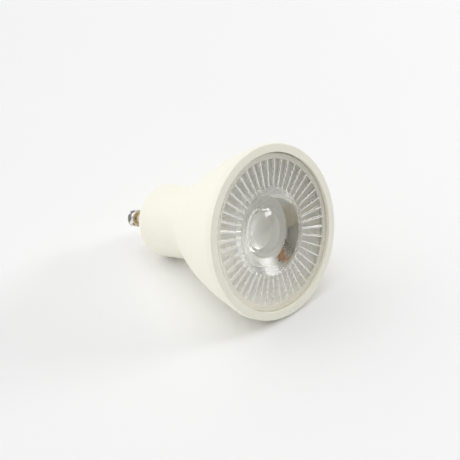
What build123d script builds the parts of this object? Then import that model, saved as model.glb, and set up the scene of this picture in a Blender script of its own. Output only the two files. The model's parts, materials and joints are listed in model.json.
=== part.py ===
from build123d import *
import os
from math import asin, atan2, cos, degrees, hypot, pi, radians, sin, sqrt

# Reflector-shaped LED lamp with a two-pin twist-lock base, lying on its rim and its base.
# Sizes are millimetres, angles are degrees. In the lamp's own frame +Z is the optical axis, with 0 at the
# back of the base, and the two contact pins stand on the X axis. A "height" is measured along that +Z.

# Housing: one moulding with a round base, a bulging flare and a flat-faced rim
RIM_RADIUS = 25.0
LENGTH = 46.0
RIM_DEPTH = 2.4
RIM_EDGE = 0.3
RIM_STEP = 0.3
FLARE_BULGE = 1.45
BASE_RADIUS = 10.65
BASE_LENGTH = 16.0
BASE_EDGE = 2.2
WALL = 1.75

# Heat-sink cup, pressed from aluminium sheet and dropped in from the front onto a ledge above the driver
CUP_LEDGE_WIDTH = 1.1
CUP_HEADROOM = 5.1
CUP_GAP = 0.15
CUP_WALL = 1.2
CUP_FLOOR = 1.5

# Lens: fluted flange, sunk centre with a dome, and a collimator that reaches down to the light source
LENS_RECESS = 0.8
LENS_GAP = 0.2
LENS_FLANGE = 2.6
LENS_BORDER = 1.65
FLUTE_COUNT = 45
FLUTE_INNER_RADIUS = 12.4
FLUTE_SHARE = 0.92
FLUTE_DEPTH_RATIO = 0.35
DISH_STEP = 0.35
DISH_DEPTH = 3.0
DOME_RADIUS = 6.4
DOME_HEIGHT = 2.0
SHOULDER_WIDTH = 0.8
SHOULDER_FALL = 0.25
SHOULDER_EDGE_WIDTH = 0.4
SHOULDER_EDGE_HEIGHT = 0.55
COLLIMATOR_BROW = 0.6
COLLIMATOR_LIP = 1.0
COLLIMATOR_BULGE = 1.2
POCKET_GAP = 0.5
POCKET_TAPER = 0.4
POCKET_DEPTH = 4.0
POCKET_CROWN = 0.8

# Light source on its metal-core board
LED_BOARD_GAP = 0.5
LED_BOARD_THICKNESS = 1.0
LED_SUBSTRATE_MARGIN = 0.4
LED_SUBSTRATE_THICKNESS = 0.6
PHOSPHOR_RADIUS = 3.5
PHOSPHOR_THICKNESS = 0.4
DAM_WIDTH = 0.6
DAM_HEIGHT = 0.55
LED_CLEARANCE = 0.25

# Leads from the driver to the light source
LEAD_RADIUS = 0.45
LEAD_HOLE_RADIUS = 0.8
LEAD_HOLE_ANGLE = -31.0
LEAD_PAD_ANGLE = -15.0
LEAD_PAD_INSET = 1.1
LEAD_BEND = 1.3
LEAD_LIFT = 0.05
SOLDER_RADIUS = 1.1
SOLDER_HEIGHT = 1.0

# Amber film that is folded from the board up the cup's wall and insulates the joint's neighbourhood
TAPE_THICKNESS = 0.12
TAPE_GAP = 0.04
TAPE_ANGLE = 12.0
TAPE_SPAN = 20.0
TAPE_SLANT = 22.0
TAPE_OVERLAP = 2.0
TAPE_RISE = 8.4

# Contact pins, riveted through the back of the base
PIN_SPACING = 10.0
PIN_LENGTH = 7.3
PIN_HEAD_RADIUS = 2.5
PIN_HEAD_LENGTH = 2.6
PIN_HEAD_EDGE = 0.5
PIN_NECK_RADIUS = 1.55
PIN_HOLE_GAP = 0.05
PIN_RIVET_RADIUS = 2.2
PIN_RIVET_THICKNESS = 0.5
PIN_BORE_RADIUS = 0.55
PIN_BORE_DEPTH = 4.5
MAINS_LEAD_RADIUS = 0.45
MAINS_LEAD_END = 2.0

# Driver board, which slides into two slots in the base
DRIVER_EDGE_GAP = 0.95
DRIVER_THICKNESS = 1.2
DRIVER_FOOT_HEIGHT = 5.0
DRIVER_TOP_HEIGHT = 24.4
SLOT_GAP = 0.15
SLOT_RIB_WIDTH = 1.0
SLOT_RIB_REACH = 0.8
SLOT_RIB_TOP = 14.0
PART_LIFT = 0.1
FRONT = 1
BACK = -1

# How the lamp lies: the pins' line is rolled about the optical axis
PIN_ROLL = -24.0

base_bore = BASE_RADIUS - WALL
rim_back = LENGTH - RIM_DEPTH
driver_width = 2 * (base_bore - DRIVER_EDGE_GAP)
driver_face = DRIVER_THICKNESS / 2
cup_ledge = DRIVER_TOP_HEIGHT + CUP_HEADROOM
cup_floor_top = cup_ledge + CUP_FLOOR
led_board_top = cup_floor_top + LED_BOARD_THICKNESS
led_substrate_top = led_board_top + LED_SUBSTRATE_THICKNESS
lens_top = LENGTH - LENS_RECESS
lens_seat = lens_top - LENS_FLANGE
collimator_foot = led_substrate_top + DAM_HEIGHT + LED_CLEARANCE
mains_lead_end = DRIVER_FOOT_HEIGHT + MAINS_LEAD_END

# The flare is an arc through the base's front corner and the rim's back, bulging by FLARE_BULGE
flare_end = RIM_RADIUS - RIM_STEP
flare_rise = rim_back - BASE_LENGTH
flare_spread = flare_end - BASE_RADIUS
flare_chord = hypot(flare_rise, flare_spread)
flare_arc = (flare_chord**2 / 4 + FLARE_BULGE**2) / (2 * FLARE_BULGE)
flare_centre_radius = (BASE_RADIUS + flare_end) / 2 - (flare_arc - FLARE_BULGE) * flare_rise / flare_chord
flare_centre_height = (BASE_LENGTH + rim_back) / 2 + (flare_arc - FLARE_BULGE) * flare_spread / flare_chord


def flare_radius(inset, height):
    """Radius of the flare's arc, moved inwards along its normal by inset, at a height."""
    return flare_centre_radius + sqrt((flare_arc - inset)**2 - (height - flare_centre_height)**2)


def flare_height(inset, radius):
    """Height at which the flare's arc, moved inwards by inset, has a radius."""
    return flare_centre_height - sqrt((flare_arc - inset)**2 - (radius - flare_centre_radius)**2)


# What sits in the flare follows its inner wall
cup_inset = WALL + CUP_GAP
seat_radius = flare_radius(WALL, lens_seat)
lens_radius = seat_radius - LENS_GAP
flute_outer_radius = lens_radius - LENS_BORDER
led_board_radius = flare_radius(cup_inset + CUP_WALL, cup_floor_top) - LED_BOARD_GAP
lead_pad_radius = led_board_radius - LEAD_PAD_INSET
led_lead_x = driver_width / 2 - SLOT_RIB_REACH - LEAD_RADIUS
led_lead_end = DRIVER_TOP_HEIGHT - 4 * LEAD_BEND


def flare_edge(inset, low, high):
    """The stretch of the inset flare arc between two heights, as an edge of a (radius, height) outline."""
    heights = (low, (low + high) / 2, high)
    return ThreePointArc(*[(flare_radius(inset, height), height) for height in heights])


def outline(*edges):
    """A closed face from edges drawn as (radius, height)."""
    return make_face([edge for line in edges for edge in line.edges()])


def rounded(face, radius, *corners):
    """The outline with its corners nearest to the given points rounded."""
    picked = [min(face.vertices(), key=lambda v: hypot(v.X - x, v.Y - y)) for x, y in corners]
    return fillet(picked, radius)


def turned(face):
    """Solid of revolution about the optical axis."""
    return revolve(Plane.XZ * face, Axis.Z)


def disc(radius, low, high, x=0.0, y=0.0):
    """Upright cylinder between two heights."""
    return Pos(x, y, low) * Cylinder(radius, high - low, align=(Align.CENTER, Align.CENTER, Align.MIN))


def wire(radius, bend, *points):
    """Round wire along straight runs joined by arcs."""
    path = FilletPolyline(*points, radius=bend)
    return sweep(Plane(path @ 0, z_dir=path % 0) * Circle(radius), path)


def polar(radius, angle):
    """Point on a circle about the optical axis."""
    return radius * cos(radians(angle)), radius * sin(radians(angle))


def mirrored(solid):
    """The same piece on the other side of the plane between the two pins."""
    return mirror(solid, Plane.YZ)


def make_housing():
    """One moulding: base, flare and rim outside; bored base, ledge for the cup and lens seat inside."""
    inner = WALL + CUP_LEDGE_WIDTH
    bore_top = flare_height(inner, base_bore)
    section = outline(
        Polyline((0, WALL), (0, 0), (BASE_RADIUS, 0), (BASE_RADIUS, BASE_LENGTH)),
        flare_edge(0, BASE_LENGTH, rim_back),
        Polyline(
            (flare_end, rim_back),
            (RIM_RADIUS, rim_back),
            (RIM_RADIUS, LENGTH),
            (seat_radius, LENGTH),
            (seat_radius, lens_seat),
        ),
        flare_edge(WALL, cup_ledge, lens_seat),
        Line((flare_radius(WALL, cup_ledge), cup_ledge), (flare_radius(inner, cup_ledge), cup_ledge)),
        flare_edge(inner, bore_top, cup_ledge),
        Polyline((base_bore, bore_top), (base_bore, WALL), (0, WALL)),
    )
    section = rounded(section, BASE_EDGE, (BASE_RADIUS, 0))
    section = rounded(section, RIM_EDGE, (RIM_RADIUS, LENGTH))
    section = rounded(section, RIM_EDGE / 2, (RIM_RADIUS, rim_back), (seat_radius, LENGTH))
    return turned(section) + driver_slots() - pin_holes()


def driver_slots():
    """Two pairs of ribs that hold the driver board by its edges, each with a stop under its corner."""
    inside = driver_width / 2 - SLOT_RIB_REACH
    rib_y = driver_face + SLOT_GAP
    guide = Box(
        base_bore - inside,
        2 * (rib_y + SLOT_RIB_WIDTH),
        SLOT_RIB_TOP,
        align=(Align.MIN, Align.CENTER, Align.MIN),
    )
    slot = Box(
        base_bore - inside,
        2 * rib_y,
        SLOT_RIB_TOP - DRIVER_FOOT_HEIGHT,
        align=(Align.MIN, Align.CENTER, Align.MIN),
    )
    holder = Pos(inside, 0, 0) * guide - Pos(inside, 0, DRIVER_FOOT_HEIGHT) * slot
    outer = base_bore + WALL / 2
    holder &= disc(outer, WALL / 2, SLOT_RIB_TOP)
    return holder + mirrored(holder)


def pin_holes():
    """Holes for the two pins' shanks in the back of the base, with room for their rivets inside."""
    x = PIN_SPACING / 2
    rivet_top = WALL + PIN_RIVET_THICKNESS + SLOT_GAP
    hole = disc(PIN_NECK_RADIUS + PIN_HOLE_GAP, -WALL, rivet_top, x)
    hole += disc(PIN_RIVET_RADIUS + SLOT_GAP, WALL, rivet_top, x)
    return hole + mirrored(hole)


def make_heat_sink_cup():
    """Cup of even wall inside the flare, its floor on the housing's ledge and its rim under the lens."""
    inside = cup_inset + CUP_WALL
    section = outline(
        Line((0, cup_ledge), (flare_radius(cup_inset, cup_ledge), cup_ledge)),
        flare_edge(cup_inset, cup_ledge, lens_seat),
        Line((flare_radius(cup_inset, lens_seat), lens_seat), (flare_radius(inside, lens_seat), lens_seat)),
        flare_edge(inside, cup_floor_top, lens_seat),
        Polyline((flare_radius(inside, cup_floor_top), cup_floor_top), (0, cup_floor_top), (0, cup_ledge)),
    )
    return turned(section) - lead_holes()


def lead_holes():
    """Holes for the two leads through the cup's floor and the light source's board."""
    x, y = polar(lead_pad_radius, LEAD_HOLE_ANGLE)
    hole = disc(LEAD_HOLE_RADIUS, cup_ledge - CUP_FLOOR, led_board_top + LED_BOARD_THICKNESS, x, y)
    return hole + mirrored(hole)


def flute_cutters():
    """Cones with their tips on the optical axis, which leave shallow channels with narrow lands between."""
    half_width = FLUTE_SHARE * pi / FLUTE_COUNT
    depth = FLUTE_DEPTH_RATIO * half_width
    spread = (half_width**2 + depth**2) / (2 * depth)
    reach = lens_radius
    cone = Cone(0, spread * reach, reach, align=(Align.CENTER, Align.CENTER, Align.MIN))
    lean = degrees(atan2(spread - depth, 1))
    cutter = Pos(0, 0, lens_top) * Rot(0, 90 - lean, 0) * cone
    return [Rot(0, 0, 360 * k / FLUTE_COUNT) * cutter for k in range(FLUTE_COUNT)]


def make_lens():
    """Fluted ring cut by cones, joined to a plain border and to the sunk dome with its collimator."""
    ring = disc(flute_outer_radius, lens_seat, lens_top) - disc(FLUTE_INNER_RADIUS, lens_seat, lens_top)
    ring -= flute_cutters()
    border = disc(lens_radius, lens_seat, lens_top) - disc(flute_outer_radius, lens_seat, lens_top)
    return ring + border + turned(lens_core_section())


def lens_core_section():
    """Half section of the lens inside the flutes: dome, shoulder, dish, collimator wall and hollow pocket."""
    dish_bottom = lens_top - DISH_DEPTH
    shoulder = (DOME_RADIUS + SHOULDER_WIDTH, dish_bottom + SHOULDER_EDGE_HEIGHT)
    dome_foot = (DOME_RADIUS, shoulder[1] + SHOULDER_FALL)
    dome_top = (0, dome_foot[1] + DOME_HEIGHT)
    pocket_radius = PHOSPHOR_RADIUS + DAM_WIDTH + POCKET_GAP
    pocket_rim = (pocket_radius - POCKET_TAPER, collimator_foot + POCKET_DEPTH)
    pocket_crown = (0, pocket_rim[1] - POCKET_CROWN)
    foot = (pocket_radius + COLLIMATOR_LIP, collimator_foot)
    brow = (FLUTE_INNER_RADIUS + COLLIMATOR_BROW, lens_seat)
    return outline(
        TangentArc(dome_top, dome_foot, tangent=(1, 0)),
        Polyline(
            dome_foot,
            shoulder,
            (shoulder[0] + SHOULDER_EDGE_WIDTH, dish_bottom),
            (FLUTE_INNER_RADIUS, lens_top - DISH_STEP),
            (FLUTE_INNER_RADIUS, lens_seat),
            brow,
        ),
        SagittaArc(brow, foot, -COLLIMATOR_BULGE),
        Polyline(foot, (pocket_radius, collimator_foot), pocket_rim),
        TangentArc(pocket_crown, pocket_rim, tangent=(1, 0)),
        Line(pocket_crown, dome_top),
    )


def make_led_board():
    """Round metal-core board on the cup's floor."""
    return disc(led_board_radius, cup_floor_top, led_board_top) - lead_holes()


def make_led_substrate():
    """Square ceramic carrier of the light source."""
    side = 2 * (PHOSPHOR_RADIUS + DAM_WIDTH + LED_SUBSTRATE_MARGIN)
    plate = Box(side, side, LED_SUBSTRATE_THICKNESS, align=(Align.CENTER, Align.CENTER, Align.MIN))
    return Pos(0, 0, led_board_top) * plate


def make_led_phosphor():
    """Disc of phosphor in silicone over the chips."""
    return disc(PHOSPHOR_RADIUS, led_substrate_top, led_substrate_top + PHOSPHOR_THICKNESS)


def make_led_dam():
    """Silicone dam that holds the phosphor in, rounded on top."""
    middle = PHOSPHOR_RADIUS + DAM_WIDTH / 2
    section = outline(
        Polyline(
            (PHOSPHOR_RADIUS, led_substrate_top + PHOSPHOR_THICKNESS),
            (PHOSPHOR_RADIUS, led_substrate_top),
            (PHOSPHOR_RADIUS + DAM_WIDTH, led_substrate_top),
            (PHOSPHOR_RADIUS + DAM_WIDTH, led_substrate_top + PHOSPHOR_THICKNESS),
        ),
        ThreePointArc(
            (PHOSPHOR_RADIUS + DAM_WIDTH, led_substrate_top + PHOSPHOR_THICKNESS),
            (middle, led_substrate_top + DAM_HEIGHT),
            (PHOSPHOR_RADIUS, led_substrate_top + PHOSPHOR_THICKNESS),
        ),
    )
    return turned(section)


def make_insulating_tape():
    """Strip of film TAPE_SPAN wide on the board's edge that runs up the cup's wall with a slant."""
    back = cup_inset + CUP_WALL + TAPE_GAP
    front = back + TAPE_THICKNESS
    low = led_board_top
    fold = low + TAPE_THICKNESS
    high = low + TAPE_RISE
    inner = led_board_radius - TAPE_OVERLAP
    section = outline(
        flare_edge(back, low, high),
        Line((flare_radius(back, high), high), (flare_radius(front, high), high)),
        flare_edge(front, fold, high),
        Polyline(
            (flare_radius(front, fold), fold),
            (inner, fold),
            (inner, low),
            (flare_radius(back, low), low),
        ),
    )
    band = turned(section)
    start = tape_side(TAPE_ANGLE - TAPE_SPAN / 2)
    end = tape_side(TAPE_ANGLE + TAPE_SPAN / 2)
    return split(split(band, start, Keep.TOP), end, Keep.BOTTOM)


def tape_side(angle):
    """Plane of a slanted side of the tape, through the edge of the board at an angle about the optical axis."""
    x, y = polar(led_board_radius, angle)
    round_axis = Vector(0, 0, 1).cross(Vector(x, y, 0)).normalized()
    normal = round_axis * cos(radians(TAPE_SLANT)) - Vector(0, 0, 1) * sin(radians(TAPE_SLANT))
    return Plane(origin=(x, y, led_board_top), z_dir=normal)


def make_led_lead():
    """Insulated lead from the driver's face over its top, through cup and board, to its solder pad."""
    hole_x, hole_y = polar(lead_pad_radius, LEAD_HOLE_ANGLE)
    pad_x, pad_y = polar(lead_pad_radius, LEAD_PAD_ANGLE)
    start_y = driver_face + LEAD_RADIUS + LEAD_LIFT
    crossing = (DRIVER_TOP_HEIGHT + cup_ledge) / 2
    landing = led_board_top + LEAD_RADIUS + LEAD_LIFT
    return wire(
        LEAD_RADIUS,
        LEAD_BEND,
        (led_lead_x, start_y, led_lead_end),
        (led_lead_x, start_y, crossing),
        (hole_x, hole_y, crossing),
        (hole_x, hole_y, landing),
        (pad_x, pad_y, landing),
    )


def solder_dome(radius, height):
    """Half ellipsoid of solder, flat side down."""
    half = Sphere(radius) & Pos(0, 0, radius) * Box(2 * radius, 2 * radius, 2 * radius)
    return scale(half, (1, 1, height / radius))


def make_led_solder(lead):
    """Solder over the leads' ends on the light source's board."""
    x, y = polar(lead_pad_radius, LEAD_PAD_ANGLE)
    joint = Pos(x, y, led_board_top) * solder_dome(SOLDER_RADIUS, SOLDER_HEIGHT + LEAD_RADIUS) - lead
    return joint + mirrored(joint)


def make_contact_pin():
    """Turned pin: round-edged head, neck through the base, rivet inside and a bore for the lead."""
    tip = -PIN_LENGTH
    section = outline(
        Polyline(
            (0, tip),
            (PIN_HEAD_RADIUS, tip),
            (PIN_HEAD_RADIUS, tip + PIN_HEAD_LENGTH),
            (PIN_NECK_RADIUS, tip + PIN_HEAD_LENGTH),
            (PIN_NECK_RADIUS, WALL),
            (PIN_RIVET_RADIUS, WALL),
            (PIN_RIVET_RADIUS, WALL + PIN_RIVET_THICKNESS),
            (PIN_BORE_RADIUS, WALL + PIN_RIVET_THICKNESS),
            (PIN_BORE_RADIUS, WALL + PIN_RIVET_THICKNESS - PIN_BORE_DEPTH),
            (0, WALL + PIN_RIVET_THICKNESS - PIN_BORE_DEPTH),
            (0, tip),
        )
    )
    head_corners = ((PIN_HEAD_RADIUS, tip), (PIN_HEAD_RADIUS, tip + PIN_HEAD_LENGTH))
    section = rounded(section, PIN_HEAD_EDGE, *head_corners)
    return Pos(PIN_SPACING / 2, 0, 0) * turned(section)


def make_mains_lead():
    """Bare wire from the bottom of the pin's bore to the driver's face."""
    x = PIN_SPACING / 2
    offset = driver_face + MAINS_LEAD_RADIUS + LEAD_LIFT
    bottom = WALL + PIN_RIVET_THICKNESS - PIN_BORE_DEPTH
    leave = WALL + PIN_RIVET_THICKNESS + MAINS_LEAD_RADIUS
    return wire(
        MAINS_LEAD_RADIUS,
        MAINS_LEAD_RADIUS * 1.2,
        (x, 0, bottom),
        (x, 0, leave),
        (x, offset, DRIVER_FOOT_HEIGHT - MAINS_LEAD_RADIUS),
        (x, offset, mains_lead_end),
    )


def on_driver(solid, x, height, side):
    """Stands a part made with its seat on Z=0 on one face of the driver board, its length along the lamp."""
    face = Plane((x, side * driver_face, height), x_dir=(1, 0, 0), z_dir=(0, side, 0))
    return face * solid


def above_foot(place):
    """Place on the driver board as (x, height), from a rise above the board's foot."""
    return place[0], DRIVER_FOOT_HEIGHT + place[1]


def below_top(place):
    """Place on the driver board as (x, height), from a drop below the board's top."""
    return place[0], DRIVER_TOP_HEIGHT - place[1]


def make_driver_solder(led_lead, mains_lead):
    """Solder over the ends of the four leads on the driver board."""
    dome = solder_dome(SOLDER_RADIUS, SOLDER_HEIGHT + LEAD_RADIUS)
    joints = on_driver(dome, led_lead_x, led_lead_end, FRONT) - led_lead
    joints += on_driver(dome, PIN_SPACING / 2, mains_lead_end, FRONT) - mains_lead
    return joints + mirrored(joints)


def make_driver_board():
    """Glass-fibre board on the optical axis, in the plane of the two pins."""
    height = DRIVER_TOP_HEIGHT - DRIVER_FOOT_HEIGHT
    board = Box(driver_width, DRIVER_THICKNESS, height, align=(Align.CENTER, Align.CENTER, Align.MIN))
    return Pos(0, 0, DRIVER_FOOT_HEIGHT) * board


# Parts on the driver board: places are (x, rise) of their middles above the board's foot, or (x, drop) below
# its top for the choke and the diode
CAPACITOR_RADIUS = 3.15
CAPACITOR_LENGTH = 8.5
CAPACITOR_PLACE = (2.2, 5.55)
OUTPUT_CAPACITOR_RADIUS = 2.0
OUTPUT_CAPACITOR_LENGTH = 7.0
OUTPUT_CAPACITOR_PLACE = (-4.0, 7.0)
CAPACITOR_EDGE = 0.4
CAPACITOR_GROOVE = 0.35
CAPACITOR_LEG_RADIUS = 0.3
CAPACITOR_LEG_DROP = 1.0
CHOKE_RADIUS = 3.2
CHOKE_HEIGHT = 6.0
CHOKE_FLANGE = 1.0
CHOKE_CORE_RADIUS = 1.6
CHOKE_WINDING_GAP = 0.4
CHOKE_PLACE = (2.2, 3.6)
FUSE_RADIUS = 1.2
FUSE_LENGTH = 6.0
FUSE_END_RADIUS = 1.35
FUSE_END_LENGTH = 1.0
FUSE_PLACE = (3.2, 6.0)
FILM_CAPACITOR_SIZE = (5.5, 4.0, 3.6)
FILM_CAPACITOR_PLACE = (-2.6, 9.6)
BRIDGE_SIZE = (4.7, 3.9, 2.4)
BRIDGE_PLACE = (-3.6, 5.4)
CHIP_SIZE = (4.9, 3.9, 1.5)
CHIP_PLACE = (2.9, 10.4)
CHIP_LEG = (0.45, 1.0, 0.5)
CHIP_LEG_PITCH = 1.27
CHIP_LEGS_A_SIDE = 4
DIODE_SIZE = (2.6, 4.2, 2.1)
DIODE_PLACE = (-2.8, 2.4)
RESISTOR_SIZE = (2.0, 1.25, 0.55)
RESISTOR_PITCH = 2.2
RESISTOR_COUNT = 3
RESISTOR_PLACE = (0.0, 1.6)
PART_EDGE = 0.2


def make_capacitor(radius, length, place):
    """Aluminium can with a rolled groove near its foot and two bent legs, lying along the board's back."""
    x, height = above_foot(place)
    away = -(driver_face + PART_LIFT + radius)
    foot = height - length / 2
    groove = foot + length / 6
    can = rounded(
        outline(Polyline((0, foot), (radius, foot), (radius, foot + length), (0, foot + length), (0, foot))),
        CAPACITOR_EDGE,
        (radius, foot),
        (radius, foot + length),
    )
    ring = Pos(0, 0, groove) * Torus(radius + CAPACITOR_GROOVE / 2, CAPACITOR_GROOVE)
    body = Pos(x, away, 0) * (turned(can) - ring)
    leg = wire(
        CAPACITOR_LEG_RADIUS,
        CAPACITOR_LEG_RADIUS * 1.5,
        (x + radius / 2, away, foot + CAPACITOR_LEG_RADIUS),
        (x + radius / 2, away, foot - CAPACITOR_LEG_DROP),
        (x + radius / 2, -driver_face, foot - CAPACITOR_LEG_DROP),
    )
    return body + leg + Pos(-radius, 0, 0) * leg


def make_choke_core():
    """Ferrite drum standing on the back of the board."""
    flange = disc(CHOKE_RADIUS, 0, CHOKE_FLANGE)
    drum = disc(CHOKE_CORE_RADIUS, 0, CHOKE_HEIGHT) + flange + Pos(0, 0, CHOKE_HEIGHT - CHOKE_FLANGE) * flange
    return on_driver(drum, *below_top(CHOKE_PLACE), BACK)


def make_choke_winding():
    """Wound copper between the drum's flanges."""
    low, high = CHOKE_FLANGE, CHOKE_HEIGHT - CHOKE_FLANGE
    coil = disc(CHOKE_RADIUS - CHOKE_WINDING_GAP, low, high) - disc(CHOKE_CORE_RADIUS, low, high)
    return on_driver(coil, *below_top(CHOKE_PLACE), BACK)


def make_fuse_resistor():
    """Axial resistor with swollen end caps, lying across the face of the board."""
    half = FUSE_LENGTH / 2
    section = outline(
        Polyline(
            (0, -half),
            (FUSE_END_RADIUS, -half),
            (FUSE_END_RADIUS, FUSE_END_LENGTH - half),
            (FUSE_RADIUS, FUSE_END_LENGTH - half),
            (FUSE_RADIUS, half - FUSE_END_LENGTH),
            (FUSE_END_RADIUS, half - FUSE_END_LENGTH),
            (FUSE_END_RADIUS, half),
            (0, half),
            (0, -half),
        )
    )
    section = rounded(section, PART_EDGE, (FUSE_END_RADIUS, -half), (FUSE_END_RADIUS, half))
    body = Pos(0, 0, FUSE_END_RADIUS + PART_LIFT) * Rot(0, 90, 0) * turned(section)
    return on_driver(body, *above_foot(FUSE_PLACE), FRONT)


def moulded(size):
    """Small moulded block on Z=0 with its top edges eased."""
    block = Box(*size, align=(Align.CENTER, Align.CENTER, Align.MIN))
    return chamfer(block.faces().sort_by(Axis.Z)[-1].edges(), PART_EDGE)


def make_driver_ic():
    """Small-outline chip with four flat legs a side."""
    width, depth, height = CHIP_SIZE
    chip = Pos(0, 0, CHIP_LEG[2] / 2) * moulded((width, depth, height))
    leg = Box(*CHIP_LEG, align=(Align.CENTER, Align.MIN, Align.MIN))
    for k in range(CHIP_LEGS_A_SIDE):
        x = (k - (CHIP_LEGS_A_SIDE - 1) / 2) * CHIP_LEG_PITCH
        chip += Pos(x, depth / 2 - PART_EDGE, 0) * leg
        chip += Pos(x, PART_EDGE - depth / 2, 0) * Rot(0, 0, 180) * leg
    return on_driver(chip, *above_foot(CHIP_PLACE), FRONT)


def make_sense_resistors():
    """Row of chip resistors."""
    x, height = above_foot(RESISTOR_PLACE)
    shift = (RESISTOR_COUNT - 1) / 2
    places = [x + (k - shift) * RESISTOR_PITCH for k in range(RESISTOR_COUNT)]
    return Compound([on_driver(moulded(RESISTOR_SIZE), place, height, FRONT) for place in places])


def resting_place():
    """Turns and lifts the lamp from its own frame so that its rim's back edge and base touch the floor."""
    edge = RIM_EDGE / 2
    rim = (RIM_RADIUS - edge, rim_back + edge)
    base = (BASE_RADIUS - BASE_EDGE, BASE_EDGE)
    run, rise = rim[1] - base[1], rim[0] - base[0]
    tilt = atan2(rise, run) - asin((BASE_EDGE - edge) / hypot(run, rise))
    lift = base[0] * cos(tilt) - base[1] * sin(tilt) + BASE_EDGE
    lie = Plane((0, 0, lift), x_dir=(0, 1, 0), z_dir=(cos(tilt), 0, sin(tilt)))
    return lie.location * Rot(0, 0, PIN_ROLL)


led_lead = make_led_lead()
mains_lead = make_mains_lead()
contact_pin = make_contact_pin()
pieces = {
    "housing": make_housing(),
    "heat_sink_cup": make_heat_sink_cup(),
    "lens": make_lens(),
    "led_board": make_led_board(),
    "led_substrate": make_led_substrate(),
    "led_dam": make_led_dam(),
    "led_phosphor": make_led_phosphor(),
    "led_lead_positive": led_lead,
    "led_lead_negative": mirrored(led_lead),
    "led_solder": make_led_solder(led_lead),
    "insulating_tape": make_insulating_tape(),
    "contact_pin_live": contact_pin,
    "contact_pin_neutral": mirrored(contact_pin),
    "mains_lead_live": mains_lead,
    "mains_lead_neutral": mirrored(mains_lead),
    "driver_board": make_driver_board(),
    "driver_solder": make_driver_solder(led_lead, mains_lead),
    "input_capacitor": make_capacitor(CAPACITOR_RADIUS, CAPACITOR_LENGTH, CAPACITOR_PLACE),
    "output_capacitor": make_capacitor(
        OUTPUT_CAPACITOR_RADIUS, OUTPUT_CAPACITOR_LENGTH, OUTPUT_CAPACITOR_PLACE
    ),
    "choke_core": make_choke_core(),
    "choke_winding": make_choke_winding(),
    "fuse_resistor": make_fuse_resistor(),
    "film_capacitor": on_driver(moulded(FILM_CAPACITOR_SIZE), *above_foot(FILM_CAPACITOR_PLACE), FRONT),
    "bridge_rectifier": on_driver(moulded(BRIDGE_SIZE), *above_foot(BRIDGE_PLACE), FRONT),
    "driver_ic": make_driver_ic(),
    "freewheel_diode": on_driver(moulded(DIODE_SIZE), *below_top(DIODE_PLACE), FRONT),
    "sense_resistors": make_sense_resistors(),
}

place = resting_place()
lying = {name: place * solid for name, solid in pieces.items()}
box = Compound([solid for part in lying.values() for solid in part.solids()]).bounding_box()
centring = Pos(-box.center().X, -box.center().Y, -box.min.Z)
os.makedirs("parts", exist_ok=True)
for name, solid in lying.items():
    export_step(centring * solid, f"parts/{name}.step")
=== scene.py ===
"""Looks of a reflector-shaped LED spot lamp on a white table: lens, housing, pins, inside and stage."""

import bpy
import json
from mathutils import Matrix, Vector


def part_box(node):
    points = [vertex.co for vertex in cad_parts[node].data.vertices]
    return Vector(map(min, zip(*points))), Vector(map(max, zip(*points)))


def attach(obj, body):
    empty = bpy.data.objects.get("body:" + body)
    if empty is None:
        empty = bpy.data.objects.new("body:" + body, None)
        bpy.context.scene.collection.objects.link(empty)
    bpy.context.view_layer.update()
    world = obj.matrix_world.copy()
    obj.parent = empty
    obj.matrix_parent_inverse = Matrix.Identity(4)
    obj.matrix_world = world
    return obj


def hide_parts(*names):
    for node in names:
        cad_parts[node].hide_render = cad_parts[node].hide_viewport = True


bl_info = {
    "name": "LED spot lamp looks",
    "version": (1, 0, 0),
    "blender": (4, 5, 0),
    "location": "3D View > Sidebar > Spot lamp",
    "description": "Gives an LED spot lamp its clear fluted lens, its finishes and a white stage",
    "category": "Object",
}

import json
from math import asin, hypot, pi, radians

import bpy
import numpy as np
from bpy.props import FloatProperty, FloatVectorProperty, IntProperty, PointerProperty
from mathutils import Euler, Vector

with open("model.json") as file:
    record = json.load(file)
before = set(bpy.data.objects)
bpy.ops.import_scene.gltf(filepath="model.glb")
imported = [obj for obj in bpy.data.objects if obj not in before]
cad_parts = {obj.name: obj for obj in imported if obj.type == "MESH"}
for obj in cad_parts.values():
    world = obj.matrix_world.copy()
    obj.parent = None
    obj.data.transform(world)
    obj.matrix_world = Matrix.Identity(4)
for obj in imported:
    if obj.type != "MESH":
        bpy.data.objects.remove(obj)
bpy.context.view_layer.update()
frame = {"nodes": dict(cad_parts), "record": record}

MM = 0.001
# Grid steps to one wave of the fine relief on the lens
WAVE_STEPS = 6
# Angle between two faces of the lens from which their edge stays sharp
CREASE = radians(30)

# The lamp's own frame: heights run from the back of the base along the optical axis, and an angle about
# that axis starts at the level direction, which is to the right for someone who faces the lens
mounts = {mount["name"]: mount for mount in frame["record"]["mounts"]}
base_back = np.array(mounts["base_seat"]["pos_m"])
optical_axis = -np.array(mounts["base_seat"]["axis"])
level = np.array((0.0, 1.0, 0.0))
lamp_frame = np.array((level, np.cross(optical_axis, level), optical_axis))
lamp_length = float((np.array(mounts["rim_face"]["pos_m"]) - base_back) @ optical_axis)
lens_low, lens_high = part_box("lens")
lens_radius = (lens_high.y - lens_low.y) / 2


def heights_of(node):
    """Lowest and highest place of a node along the optical axis."""
    vertices = frame["nodes"][node].data.vertices
    points = np.empty(3 * len(vertices), np.float32)
    vertices.foreach_get("co", points)
    heights = (points.reshape(-1, 3) - base_back) @ optical_axis
    return float(heights.min()), float(heights.max())


lens_foot, lens_top = heights_of("lens")
pin_tip, _ = heights_of("contact_pin_live")


def linear(hex_colour):
    """Linear colour, with an alpha of 1, of an sRGB hex value."""
    levels = np.array([int(hex_colour[k:k + 2], 16) for k in (1, 3, 5)]) / 255
    curve = np.where(levels <= 0.04045, levels / 12.92, ((levels + 0.055) / 1.055) ** 2.4)
    return (*curve.tolist(), 1.0)


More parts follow.
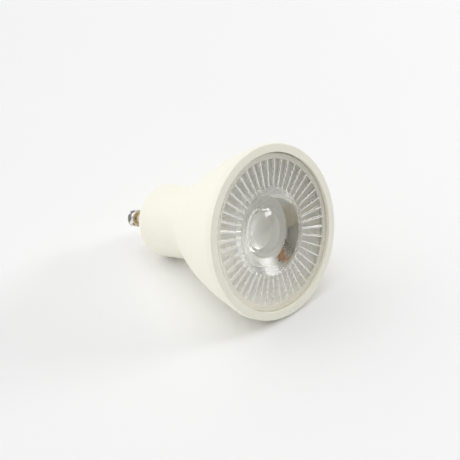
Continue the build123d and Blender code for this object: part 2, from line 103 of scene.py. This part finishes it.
def colour_property(name, description, hex_colour):
    """A colour that the panel shows, given as an sRGB hex value."""
    return FloatVectorProperty(
        name=name,
        description=description,
        default=linear(hex_colour),
        subtype="COLOR",
        size=4,
        min=0,
        max=1,
    )


def length_property(name, description, millimetres):
    """A length that the panel shows, given in millimetres."""
    return FloatProperty(name=name, description=description, default=millimetres * MM, unit="LENGTH")


def angle_property(name, description, degrees):
    """An angle that the panel shows, given in degrees."""
    return FloatProperty(name=name, description=description, default=radians(degrees), unit="ROTATION")


def share_property(name, description, share):
    """A share from 0 to 1 that the panel shows."""
    return FloatProperty(
        name=name, description=description, default=share, subtype="FACTOR", min=0, max=1
    )


def strength_property(name, description, strength):
    """The strength of a light, which the panel shows."""
    return FloatProperty(name=name, description=description, default=strength, min=0)


def count_property(name, description, count, least):
    """A number of like forms that the panel shows."""
    return IntProperty(name=name, description=description, default=count, min=least)


class LensSizes(bpy.types.PropertyGroup):
    """Sizes of the lens, with depths measured from its front face."""

    flange: length_property("Flange", "Thickness of the fluted flange", 2.6)
    border: length_property("Border", "Width of the plain border outside the flutes", 1.65)
    edge: length_property("Edge", "Rounding of the flange's front edge", 0.2)
    flute_inner: length_property("Flutes' inner radius", "Radius at which the flutes begin", 12.4)
    flute_slope: length_property("Flutes' end slope", "Draft of the walls at the flutes' ends", 0.06)
    ripple_pitch: length_property("Ripple pitch", "Spacing of the rings under the flange", 1.5)
    ripple_depth: length_property("Ripple depth", "Depth of the rings under the flange", 0.05)
    flute_count: count_property("Flutes", "Flutes round the lens", 45, least=3)
    flute_share: share_property(
        "Flute share", "Share of the pitch that a flute takes, the rest being land", 0.86
    )
    flute_depth: share_property("Flute depth", "Depth of a flute as a share of half its width", 0.35)
    dish_step: length_property("Dish step", "Depth of the step from the flutes into the dish", 0.35)
    dish_depth: length_property("Dish depth", "Depth of the dish's bottom", 3.0)
    quilt_count: count_property("Quilt count", "Pillows round the dish", 90, least=3)
    quilt_rows: count_property("Quilt rows", "Pillows from the dish's foot to its rim", 5, least=1)
    quilt_depth: length_property("Quilt depth", "Height of the pillows in the dish", 0.03)
    dome_radius: length_property("Dome radius", "Radius of the dome's foot", 6.4)
    dome_height: length_property("Dome height", "Height of the dome above its foot", 2.0)
    shoulder_width: length_property("Shoulder width", "Width of the shoulder round the dome", 0.8)
    shoulder_fall: length_property("Shoulder fall", "Fall of the shoulder from the dome's foot", 0.25)
    shoulder_edge_width: length_property(
        "Shoulder edge width", "Width of the shoulder's sloping edge", 0.4
    )
    shoulder_edge_height: length_property(
        "Shoulder edge height", "Height of the shoulder's sloping edge", 0.55
    )
    foot_radius: length_property("Foot radius", "Outer radius of the collimator's foot", 5.6)
    brow: length_property("Brow", "Reach of the collimator past the flutes' inner ends", 0.6)
    bulge: length_property("Bulge", "Bulge of the collimator's wall", 1.2)
    pocket_radius: length_property("Pocket radius", "Radius of the pocket at the foot", 4.6)
    pocket_taper: length_property("Pocket taper", "How much narrower the pocket is at its top", 0.4)
    pocket_depth: length_property("Pocket depth", "Depth of the pocket at its wall", 4.0)
    pocket_crown: length_property("Pocket crown", "How far the pocket's roof bulges down", 0.25)


class LampColours(bpy.types.PropertyGroup):
    """Colours of the lamp's visible materials."""

    housing: colour_property("Housing", "Warm white plastic", "#FBF9EA")
    lens: colour_property("Lens", "Tint of the clear acrylic", "#FFFFFC")
    border: colour_property("Border", "Tint of the lens where it is bonded to the housing", "#FCF8EC")
    cup: colour_property("Cup", "Aluminium behind the lens", "#EBEAE5")
    board: colour_property("Board", "White mask on the light source's board", "#F3F2EC")
    phosphor: colour_property("Phosphor", "Yellow silicone over the chips", "#E6DDB8")
    lead: colour_property("Lead", "Insulation of the lead that shows", "#E2AC7C")
    pin: colour_property("Pin", "Nickel plate", "#F2EEEA")
    # Painted shade: this brown on the pins' necks stands in for their reflection of the dark gap under
    # the base
    painted_neck_shade: colour_property("Painted_neck_shade", "Nickel plate that has gone brown", "#CDBFA8")


class StageSettings(bpy.types.PropertyGroup):
    """Floor, lights and camera."""

    floor: colour_property("Floor", "White table top", "#FAFAFA")
    sky: strength_property("Sky", "Strength of the light from all round", 0.545)
    sky_slope: strength_property("Sky slope", "How much stronger it is on its bright side", 0.54)
    overhead: strength_property("Overhead", "Strength of the broad light overhead", 0.91)
    back: strength_property("Back", "Strength of the broad light behind the lamp", 0.35)
    window: strength_property("Window", "Strength of the small light behind the lamp", 1.9)
    azimuth: angle_property("Azimuth", "Camera's direction round the lamp", 41.81)
    elevation: angle_property("Elevation", "Camera's height above the horizon", 33.71)
    distance: length_property("Distance", "Camera's distance from the lens", 600.0)
    focal_length: FloatProperty(
        name="Focal length", description="Camera's lens in millimetres", default=167.45, min=1
    )


def to_lamp(local):
    """Points of the lamp's own frame in the shared frame."""
    return base_back + local @ lamp_frame


def line(start, end, count):
    """Evenly spaced points on a straight stretch of a section, without its start."""
    share = np.linspace(0, 1, count + 1)[1:, None]
    return np.array(start) + share * (np.array(end) - np.array(start))


def cap(top, foot, count):
    """Circular arc of a section from a point on the axis, level there, to a foot above or below it."""
    fall = top[1] - foot[1]
    radius = (foot[0] ** 2 + fall**2) / (2 * abs(fall))
    turn = np.linspace(0, asin(foot[0] / radius), count + 1)
    heights = top[1] - np.sign(fall) * radius * (1 - np.cos(turn))
    return np.stack((radius * np.sin(turn), heights), axis=1)


def bulged(start, end, bulge, count):
    """Parabola of a section, without its start, that stands out by bulge at its middle."""
    along = np.array(end) - np.array(start)
    outward = np.array((-along[1], along[0])) / hypot(*along)
    share = np.linspace(0, 1, count + 1)[1:, None]
    return np.array(start) + share * along + 4 * bulge * share * (1 - share) * outward


def rippled(start, end, pitch, depth):
    """Level stretch of a section, without its start, that a cosine wave lowers by up to depth."""
    waves = max(1, round(abs(end[0] - start[0]) / pitch))
    points = line(start, end, WAVE_STEPS * waves)
    turns = waves * (points[:, 0] - start[0]) / (end[0] - start[0])
    points[:, 1] -= depth * (1 - np.cos(2 * pi * turns)) / 2
    return points


def turned_mesh(name, radii, heights, angles, slots):
    """Closed surface from grids of radius and height over rows of a section and angles round the axis.

    A point is (radius cos angle, radius sin angle, height). The first and last rows are single points
    on the axis, so they become fans of triangles, and the rows between them become rings of quads. The
    face that ends at a row and starts at an angle takes the material slot that stands there in slots.
    """
    rows, columns = radii.shape
    grid = np.stack((radii * np.cos(angles), radii * np.sin(angles), heights), axis=2)
    rings = grid[1:-1].reshape(-1, 3)
    poles = np.array(((0, 0, heights[0, 0]), (0, 0, heights[-1, 0])))
    points = to_lamp(np.concatenate((rings, poles)))
    index = np.arange(len(rings)).reshape(rows - 2, columns)
    after = np.roll(index, -1, axis=1)
    quads = np.stack((index[:-1], index[1:], after[1:], after[:-1]), axis=2).reshape(-1, 4)
    first = np.stack((np.full(columns, len(rings)), index[0], after[0]), axis=1)
    last = np.stack((np.full(columns, len(rings) + 1), after[-1], index[-1]), axis=1)
    mesh = bpy.data.meshes.new(name)
    mesh.from_pydata(points.tolist(), [], quads.tolist() + first.tolist() + last.tolist())
    mesh.polygons.foreach_set("material_index", slots[np.r_[2:rows - 1, 1, rows - 1]].ravel())
    mesh.shade_smooth()
    mesh.set_sharp_from_angle(angle=CREASE)
    mesh.validate()
    mesh.update()
    return mesh


def add_piece(name, mesh, materials, node):
    """Puts a new piece in the scene, with its materials, in place of a node."""
    piece = bpy.data.objects.new(name, mesh)
    bpy.context.scene.collection.objects.link(piece)
    for material in materials:
        mesh.materials.append(material)
    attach(piece, "root")
    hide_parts(node)


def dress(material, *nodes):
    """Gives the objects of some nodes one material in place of their plain one."""
    for node in nodes:
        slots = frame["nodes"][node].data.materials
        slots.clear()
        slots.append(material)


def add_node(tree, kind, settings=(), **inputs):
    """Adds a node with its settings and inputs, each a value or the socket that feeds it.

    An input goes by its name, with _ for each space, or by _ and its number.
    """
    node = tree.nodes.new(kind)
    for key, value in dict(settings).items():
        setattr(node, key, value)
    for key, value in inputs.items():
        name = int(key[1:]) if key[1:].isdigit() else key.replace("_", " ")
        socket = node.inputs[name]
        if isinstance(value, bpy.types.NodeSocket):
            tree.links.new(value, socket)
        else:
            socket.default_value = value
    return node


def new_material(name):
    """A material with a Principled shader, and its tree, its shader and its object coordinates."""
    material = bpy.data.materials.new(name)
    material.use_nodes = True
    tree = material.node_tree
    shader = tree.nodes["Principled BSDF"]
    place = add_node(tree, "ShaderNodeTexCoord").outputs["Object"]
    return material, tree, shader, place


def darkened(colour, share):
    """A colour with that share of its light."""
    return (*(value * share for value in colour[:3]), 1.0)


def mottled(name, colour, grain, shade, roughness, relief, metallic=0.0):
    """A material whose colour and surface vary a little, with noise of a grain in millimetres.

    The colour runs up to the given one from a shade darker, and the bump is relief millimetres high.
    Real grains of these surfaces are finer, and are drawn this coarse so that they show.
    """
    material, tree, shader, place = new_material(name)
    noise = add_node(tree, "ShaderNodeTexNoise", Vector=place, Scale=1 / (grain * MM), Detail=4.0)
    tone = add_node(
        tree,
        "ShaderNodeMix",
        {"data_type": "RGBA"},
        _0=noise.outputs["Fac"],
        _6=darkened(colour, 1 - shade),
        _7=tuple(colour),
    )
    bump = add_node(
        tree, "ShaderNodeBump", Height=noise.outputs["Fac"], Distance=relief * MM, Strength=1.0
    )
    tree.links.new(tone.outputs[2], shader.inputs["Base Color"])
    tree.links.new(bump.outputs["Normal"], shader.inputs["Normal"])
    shader.inputs["Metallic"].default_value = metallic
    shader.inputs["Roughness"].default_value = roughness
    return material


# Acrylic of the lens by finish, in the order of the lens's material slots: material name, tint,
# roughness and clearness
ACRYLIC = {
    # Moulded against polished steel: a hard, clear gloss
    "polished": ("polished_clear_acrylic", "lens", 0.03, 1.0),
    # Against blasted steel: clear, with a softer gloss
    "satin": ("satin_clear_acrylic", "lens", 0.1, 1.0),
    # Against etched steel: what is behind it blurs
    "etched": ("etched_clear_acrylic", "lens", 0.3, 0.88),
    # Ground: nearly white, with a little light through it
    "frosted": ("frosted_clear_acrylic", "lens", 0.5, 0.3),
    # Bonded to the housing's white seat, which shows through
    "bonded": ("acrylic_bonded_to_white_seat", "border", 0.5, 0.1),
    # Front of the border over that bond: half white under a soft gloss
    "milky": ("milky_acrylic_border", "border", 0.2, 0.5),
    # Lands between the flutes: matt, thin white lines
    "whitened": ("whitened_acrylic_land", "lens", 0.5, 0.15),
}
# Finish of those surfaces of the lens that carry a relief
RELIEF_FINISH = {"quilted": "satin", "fluted": "satin", "flute end": "frosted"}


def moulded_acrylic(name, colour, roughness, clearness):
    """Acrylic with the faint waves of its moulding, which lets lights reach what is behind it."""
    ior = 1.49
    flow_grain = 2.5 * MM
    flow_relief = 0.003 * MM
    material, tree, shader, place = new_material(name)
    shader.inputs["Base Color"].default_value = colour
    shader.inputs["Roughness"].default_value = roughness
    shader.inputs["IOR"].default_value = ior
    shader.inputs["Transmission Weight"].default_value = clearness
    flow = add_node(tree, "ShaderNodeTexNoise", Vector=place, Scale=1 / flow_grain, Detail=2.0)
    bump = add_node(
        tree, "ShaderNodeBump", Height=flow.outputs["Fac"], Distance=flow_relief, Strength=1.0
    )
    tree.links.new(bump.outputs["Normal"], shader.inputs["Normal"])
    path = add_node(tree, "ShaderNodeLightPath")
    clear = add_node(tree, "ShaderNodeBsdfTransparent", Color=colour)
    mix = add_node(
        tree,
        "ShaderNodeMixShader",
        _0=path.outputs["Is Shadow Ray"],
        _1=shader.outputs[0],
        _2=clear.outputs[0],
    )
    tree.links.new(mix.outputs[0], tree.nodes["Material Output"].inputs["Surface"])
    return material


class SPOTLAMP_OT_lens(bpy.types.Operator):
    """Builds the clear lens with its flutes, dish, dome and collimator."""

    bl_idname = "spotlamp.lens"
    bl_label = "Build lens"

    def execute(self, context):
        colours = context.scene.lamp_colours
        materials = [
            moulded_acrylic(name, getattr(colours, tint), roughness, clearness)
            for name, tint, roughness, clearness in ACRYLIC.values()
        ]
        mesh = lens_mesh(context.scene.lens_sizes)
        add_piece("clear_lens", mesh, materials, "lens")
        return {"FINISHED"}


def lens_mesh(sizes):
    """Lens as radius and height over the rows of its section and the angles round the axis.

    The section runs from the dome's top over the shoulder, dish, flutes and border, back under the
    flange, down the collimator to its foot and up the pocket. A flute is a circular channel whose width
    and depth grow with the radius. The quilt adds pillows to the dish, and their height is the quilt's
    depth times |sin(angle count / 2)| times |sin(pi rows share)|.
    """
    seat = lens_top - sizes.flange
    bottom = lens_top - sizes.dish_depth
    flute_outer = lens_radius - sizes.border
    shoulder = (sizes.dome_radius + sizes.shoulder_width, bottom + sizes.shoulder_edge_height)
    dome_foot = (sizes.dome_radius, shoulder[1] + sizes.shoulder_fall)
    dome_top = (0, dome_foot[1] + sizes.dome_height)
    dish_foot = (shoulder[0] + sizes.shoulder_edge_width, bottom)
    dish_rim = (sizes.flute_inner, lens_top - sizes.dish_step)
    flute_start = (sizes.flute_inner + sizes.flute_slope, lens_top)
    flute_end = (flute_outer - sizes.flute_slope, lens_top)
    border_inner = (flute_outer, lens_top)
    border_outer = (lens_radius - sizes.edge, lens_top)
    wall_top = (lens_radius, lens_top - sizes.edge)
    wall_foot = (lens_radius, seat)
    border_foot = (flute_outer, seat)
    brow = (sizes.flute_inner + sizes.brow, seat)
    foot = (sizes.foot_radius, lens_foot)
    pocket_foot = (sizes.pocket_radius, lens_foot)
    pocket_rim = (sizes.pocket_radius - sizes.pocket_taper, lens_foot + sizes.pocket_depth)
    crown = (0, pocket_rim[1] - sizes.pocket_crown)
    collimator_steps, satin_steps = 18, 6
    collimator = bulged(brow, foot, sizes.bulge, collimator_steps)
    # Each stretch of the section, with its count of steps, and its finish or relief
    stretches = (
        (cap(dome_top, dome_foot, 20), "polished"),
        (line(dome_foot, shoulder, 2), "polished"),
        (line(shoulder, dish_foot, 2), "polished"),
        (line(dish_foot, dish_rim, WAVE_STEPS * sizes.quilt_rows), "quilted"),
        (np.array((flute_start,)), "flute end"),
        (line(flute_start, flute_end, 10), "fluted"),
        (np.array((border_inner,)), "milky"),
        (line(border_inner, border_outer, 2), "milky"),
        (line(border_outer, wall_top, 1), "milky"),
        (line(wall_top, wall_foot, 2), "bonded"),
        (line(wall_foot, border_foot, 2), "bonded"),
        (rippled(border_foot, brow, sizes.ripple_pitch, sizes.ripple_depth), "etched"),
        (collimator[:satin_steps], "satin"),
        (collimator[satin_steps:], "frosted"),
        (line(foot, pocket_foot, 2), "frosted"),
        (line(pocket_foot, pocket_rim, 4), "etched"),
        (cap(crown, pocket_rim, 8)[-2::-1], "etched"),
    )
    section = np.concatenate([points for points, _ in stretches])
    surface = np.concatenate([np.full(len(points), given) for points, given in stretches])

    # Angles of one pitch, across the flute and to the land's middle, with the flute's depth at each
    columns = 14
    pitch = 2 * pi / sizes.flute_count
    half = sizes.flute_share * pitch / 2
    within = np.concatenate((np.linspace(-half, half, columns - 1), (pitch / 2,)))
    angles = (np.arange(sizes.flute_count)[:, None] * pitch + within).ravel()
    depth = sizes.flute_depth * half
    spread = (half**2 + depth**2) / (2 * depth)
    channel = np.sqrt(np.maximum(spread**2 - within**2, 0)) - (spread - depth)
    channel = np.tile(np.maximum(channel, 0), sizes.flute_count)

    radii = section[:, :1] * np.ones_like(angles)
    heights = section[:, 1:] - radii * channel * np.isin(surface, ("flute end", "fluted"))[:, None]
    share = (section[:, 0] - dish_foot[0]) / (dish_rim[0] - dish_foot[0])
    rows_wave = np.abs(np.sin(pi * sizes.quilt_rows * share))[:, None]
    pillow = rows_wave * np.abs(np.sin(angles * sizes.quilt_count / 2))
    heights = heights + sizes.quilt_depth * pillow * (surface == "quilted")[:, None]

    slot_of = {finish: slot for slot, finish in enumerate(ACRYLIC)}
    finishes = [RELIEF_FINISH.get(given, given) for given in surface.tolist()]
    row_slots = np.array([slot_of[finish] for finish in finishes], np.int32)
    slots = np.repeat(row_slots[:, None], len(angles), axis=1)
    land = (channel == 0) & (np.roll(channel, -1) == 0)
    slots[(surface == "fluted")[:, None] & land] = slot_of["whitened"]
    return turned_mesh("clear_lens", radii, heights, angles, slots)


class SPOTLAMP_OT_housing(bpy.types.Operator):
    """Finishes the moulded housing."""

    bl_idname = "spotlamp.housing"
    bl_label = "Finish housing"

    def execute(self, context):
        colour = context.scene.lamp_colours.housing
        # A warm white satin skin, almost even
        plastic = mottled(
            "moulded_white_polyester", colour, grain=0.5, shade=0.03, roughness=0.42, relief=0.004
        )
        dress(plastic, "housing")
        return {"FINISHED"}


# Materials inside the lamp: name, sRGB colour, grain in millimetres, roughness, metallic and the nodes
INSIDE = (
    # Matt white with a fine grain
    ("fired_alumina", "#EAE9E4", 0.3, 0.5, 0.0, "led_substrate"),
    # Soft white gloss
    ("white_silicone", "#F0EFEA", 0.5, 0.35, 0.0, "led_dam"),
    # Smooth satin plastic
    ("blue_lead_insulation", "#27408B", 0.6, 0.4, 0.0, "led_lead_negative"),
    # Bright blob that mirrors the lens
    ("glossy_solder", "#B5B3AD", 0.4, 0.12, 1.0, "led_solder"),
    # Thin glossy film, whose amber is paled by the white behind it
    ("amber_polyimide_tape", "#E8DFCA", 0.7, 0.3, 0.0, "insulating_tape"),
    # Pale metal with a soft shine
    ("tinned_copper_wire", "#C8C3B8", 0.4, 0.3, 1.0, "mains_lead_live", "mains_lead_neutral"),
    # Satin green mask
    ("green_glass_fibre_board", "#2E6B3C", 0.5, 0.35, 0.0, "driver_board"),
    # Bright fillets
    ("bright_solder", "#C9C8C4", 0.4, 0.18, 1.0, "driver_solder"),
    # Tight glossy black film
    ("black_shrink_sleeve", "#1B1C1F", 0.8, 0.3, 0.0, "input_capacitor", "output_capacitor"),
    # Dark grey with a matt grit
    ("sintered_ferrite", "#3A3A3C", 0.25, 0.7, 0.0, "choke_core"),
    # Copper under clear lacquer
    ("enamelled_copper_wire", "#B8642B", 0.3, 0.3, 0.9, "choke_winding"),
    # Smooth blue lacquer
    ("resistor_lacquer", "#6F93AE", 0.5, 0.35, 0.0, "fuse_resistor"),
    # Smooth yellow plastic
    ("moulded_capacitor_box", "#C79A2E", 0.6, 0.35, 0.0, "film_capacitor"),
    # Fine matt black
    ("moulded_epoxy", "#202022", 0.2, 0.55, 0.0, "bridge_rectifier", "driver_ic", "freewheel_diode"),
    # Dark glaze
    ("fired_thick_film", "#26272B", 0.2, 0.4, 0.0, "sense_resistors"),
)
INSIDE_SHADE = 0.1
INSIDE_RELIEF = 0.02


class SPOTLAMP_OT_inside(bpy.types.Operator):
    """Finishes the cup, the light source and the driver."""

    bl_idname = "spotlamp.inside"
    bl_label = "Finish inside"

    def execute(self, context):
        colours = context.scene.lamp_colours
        # Bright but not mirroring, with the dull skin that drawing leaves
        cup = mottled(
            "drawn_aluminium",
            colours.cup,
            grain=0.6,
            shade=0.05,
            roughness=0.5,
            relief=0.004,
            metallic=0.1,
        )
        dress(cup, "heat_sink_cup")
        # Even white with a low gloss
        board = mottled(
            "white_solder_mask", colours.board, grain=0.5, shade=0.04, roughness=0.4, relief=0.004
        )
        dress(board, "led_board")
        # Pale yellow grains in clear silicone
        phosphor = mottled(
            "phosphor_silicone", colours.phosphor, grain=0.4, shade=0.15, roughness=0.4, relief=0.02
        )
        dress(phosphor, "led_phosphor")
        # Smooth satin plastic
        lead = mottled(
            "red_lead_insulation", colours.lead, grain=0.6, shade=0.1, roughness=0.4, relief=0.01
        )
        dress(lead, "led_lead_positive")
        for name, colour, grain, roughness, metallic, *nodes in INSIDE:
            material = mottled(
                name, linear(colour), grain, INSIDE_SHADE, roughness, INSIDE_RELIEF, metallic
            )
            dress(material, *nodes)
        return {"FINISHED"}


class SPOTLAMP_OT_pins(bpy.types.Operator):
    """Finishes the two contact pins."""

    bl_idname = "spotlamp.pins"
    bl_label = "Finish pins"

    def execute(self, context):
        plated = nickel_with_painted_shade(context.scene.lamp_colours)
        dress(plated, "contact_pin_live", "contact_pin_neutral")
        return {"FINISHED"}


def nickel_with_painted_shade(colours):
    """Nickel plate with dark noise marks on the pins' heads, and painted shade on the necks: a brown
    that stands in for their reflection of the dark gap under the base.

    The painted brown comes in along the optical axis just before a head ends, and noise places the
    marks.
    """
    head_length = 2.6 * MM
    brown_begins = 0.25 * MM
    brown_full = 0.1 * MM
    mark_size = 1.5 * MM
    mark_begins = 0.49
    mark_full = 0.55
    mark_light = 0.25
    roughness = 0.2
    material, tree, shader, place = new_material("nickel_plate_with_painted_shade")
    along = add_node(
        tree, "ShaderNodeVectorMath", {"operation": "DOT_PRODUCT"}, _0=place, _1=tuple(optical_axis)
    )
    head_back = pin_tip + head_length + float(base_back @ optical_axis)
    # Mask of the painted shade: brown from just before the head's back end onwards along the neck
    brown = add_node(
        tree,
        "ShaderNodeMapRange",
        Value=along.outputs["Value"],
        From_Min=head_back - brown_begins,
        From_Max=head_back - brown_full,
    )
    marks = add_node(tree, "ShaderNodeTexNoise", Vector=place, Scale=1 / mark_size, Detail=2.0)
    mark = add_node(
        tree, "ShaderNodeMapRange", Value=marks.outputs["Fac"], From_Min=mark_begins, From_Max=mark_full
    )
    plate = add_node(
        tree,
        "ShaderNodeMix",
        {"data_type": "RGBA"},
        _0=mark.outputs["Result"],
        _6=tuple(colours.pin),
        _7=darkened(colours.pin, mark_light),
    )
    # Mixes the painted shade of the necks over the plate
    tone = add_node(
        tree,
        "ShaderNodeMix",
        {"data_type": "RGBA"},
        _0=brown.outputs["Result"],
        _6=plate.outputs[2],
        _7=tuple(colours.painted_neck_shade),
    )
    tree.links.new(tone.outputs[2], shader.inputs["Base Color"])
    shader.inputs["Metallic"].default_value = 1.0
    shader.inputs["Roughness"].default_value = roughness
    return material


class SPOTLAMP_OT_stage(bpy.types.Operator):
    """Builds the white floor, the lights and the camera."""

    bl_idname = "spotlamp.stage"
    bl_label = "Build stage"

    def execute(self, context):
        settings = context.scene.stage_settings
        scene = context.scene
        scene.view_settings.view_transform = "Standard"
        add_floor(scene, settings)
        add_sky(scene, settings)
        add_lights(scene, settings)
        add_camera(scene, settings)
        return {"FINISHED"}


def add_floor(scene, settings):
    """Grid of squares that is level under the lamp and sweeps up far from it, as a paper backdrop does.

    The height is the rise times the square of how far a point is from the level middle to the reach.
    """
    reach, level_reach, rise, count = 3.0, 1.0, 0.3, 48
    steps = np.linspace(-reach, reach, count + 1)
    x, y = np.meshgrid(steps, steps)
    past = np.clip((np.hypot(x, y) - level_reach) / (reach - level_reach), 0, 1)
    points = np.stack((x, y, rise * past**2), axis=2).reshape(-1, 3)
    index = np.arange(len(points)).reshape(count + 1, count + 1)
    corners = (index[:-1, :-1], index[:-1, 1:], index[1:, 1:], index[1:, :-1])
    quads = np.stack(corners, axis=2).reshape(-1, 4)
    mesh = bpy.data.meshes.new("floor")
    mesh.from_pydata(points.tolist(), [], quads.tolist())
    mesh.shade_smooth()
    # Matt white, all but even
    top = mottled("white_table_top", settings.floor, grain=60, shade=0.01, roughness=0.6, relief=0.0)
    mesh.materials.append(top)
    floor = bpy.data.objects.new("floor", mesh)
    scene.collection.objects.link(floor)


def add_sky(scene, settings):
    """White light from all round, stronger on the side of the base that faces the camera."""
    bright_side = (-0.9, -0.43, 0.0)
    world = bpy.data.worlds.new("studio")
    world.use_nodes = True
    tree = world.node_tree
    direction = add_node(tree, "ShaderNodeTexCoord").outputs["Generated"]
    side = add_node(
        tree, "ShaderNodeVectorMath", {"operation": "DOT_PRODUCT"}, _0=direction, _1=bright_side
    )
    strength = add_node(
        tree,
        "ShaderNodeMapRange",
        Value=side.outputs["Value"],
        From_Min=-1.0,
        To_Min=settings.sky - settings.sky_slope,
        To_Max=settings.sky + settings.sky_slope,
    )
    background = tree.nodes["Background"]
    background.inputs["Color"].default_value = (1.0, 1.0, 1.0, 1.0)
    tree.links.new(strength.outputs["Result"], background.inputs["Strength"])
    scene.world = world


def aim(light, towards):
    """Points a light's -Z axis along a direction."""
    light.rotation_euler = Vector(towards).to_track_quat("-Z", "Y").to_euler()


def add_softbox(scene, name, strength, degrees, towards):
    """Adds a broad light that spans an angle and shines along a direction."""
    data = bpy.data.lights.new(name, "SUN")
    data.energy = strength
    data.angle = radians(degrees)
    softbox = bpy.data.objects.new(name, data)
    aim(softbox, towards)
    scene.collection.objects.link(softbox)


def add_lights(scene, settings):
    """Broad lights overhead and behind the lamp, and a low window behind it that gleams in the dome."""
    add_softbox(scene, "overhead_softbox", settings.overhead, degrees=80, towards=(0.2, 0.25, -0.95))
    add_softbox(scene, "back_softbox", settings.back, degrees=70, towards=(-0.35, -0.8, -0.5))

    distance, width, height, roll = 0.9, 0.45, 0.15, radians(-36)
    direction = Vector((0.4115, 0.8075, 0.4226)).normalized()
    pane = bpy.data.lights.new("window", "AREA")
    pane.shape = "RECTANGLE"
    pane.size = width
    pane.size_y = height
    pane.energy = settings.window
    window = bpy.data.objects.new("window", pane)
    window.location = Vector(to_lamp(np.array((0, 0, lamp_length)))) + distance * direction
    aim(window, -direction)
    window.rotation_euler.rotate_axis("Z", roll)
    scene.collection.objects.link(window)


def add_camera(scene, settings):
    """Camera at the viewing angle, with the lens's middle placed where it is seen in the frame."""
    aimed_height, seen_right, seen_up = 45.6 * MM, 12.23 * MM, -0.6 * MM
    turn = Euler((pi / 2 - settings.elevation, 0, settings.azimuth)).to_matrix()
    right, up, toward = turn.col
    target = Vector(to_lamp(np.array((0, 0, aimed_height))))
    data = bpy.data.cameras.new("camera")
    data.lens = settings.focal_length
    data.sensor_width = 36.0
    camera = bpy.data.objects.new("camera", data)
    camera.location = target - seen_right * right - seen_up * up + settings.distance * toward
    camera.rotation_euler = turn.to_euler()
    scene.collection.objects.link(camera)
    scene.camera = camera


class SPOTLAMP_PT_panel(bpy.types.Panel):
    """Lists the lamp's pieces and their settings in the sidebar."""

    bl_idname = "SPOTLAMP_PT_panel"
    bl_label = "Spot lamp"
    bl_space_type = "VIEW_3D"
    bl_region_type = "UI"
    bl_category = "Spot lamp"

    def draw(self, context):
        for operator in operators:
            self.layout.operator(operator.bl_idname)
        for group in settings_groups:
            settings = getattr(context.scene, group)
            for name in settings.bl_rna.properties.keys():
                if name not in ("rna_type", "name"):
                    self.layout.prop(settings, name)


operators = (
    SPOTLAMP_OT_housing,
    SPOTLAMP_OT_lens,
    SPOTLAMP_OT_inside,
    SPOTLAMP_OT_pins,
    SPOTLAMP_OT_stage,
)
settings_groups = {
    "lens_sizes": LensSizes,
    "lamp_colours": LampColours,
    "stage_settings": StageSettings,
}
classes = (*settings_groups.values(), *operators, SPOTLAMP_PT_panel)


def register():
    """Registers the classes and gives each scene their settings."""
    for cls in classes:
        bpy.utils.register_class(cls)
    for name, group in settings_groups.items():
        setattr(bpy.types.Scene, name, PointerProperty(type=group))


def unregister():
    """Takes the settings and classes away again."""
    for name in settings_groups:
        delattr(bpy.types.Scene, name)
    for cls in reversed(classes):
        bpy.utils.unregister_class(cls)


def main():
    """Registers the add-on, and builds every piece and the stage."""
    register()
    bpy.ops.spotlamp.housing()
    bpy.ops.spotlamp.lens()
    bpy.ops.spotlamp.inside()
    bpy.ops.spotlamp.pins()
    bpy.ops.spotlamp.stage()


if __name__ == "__main__":
    main()
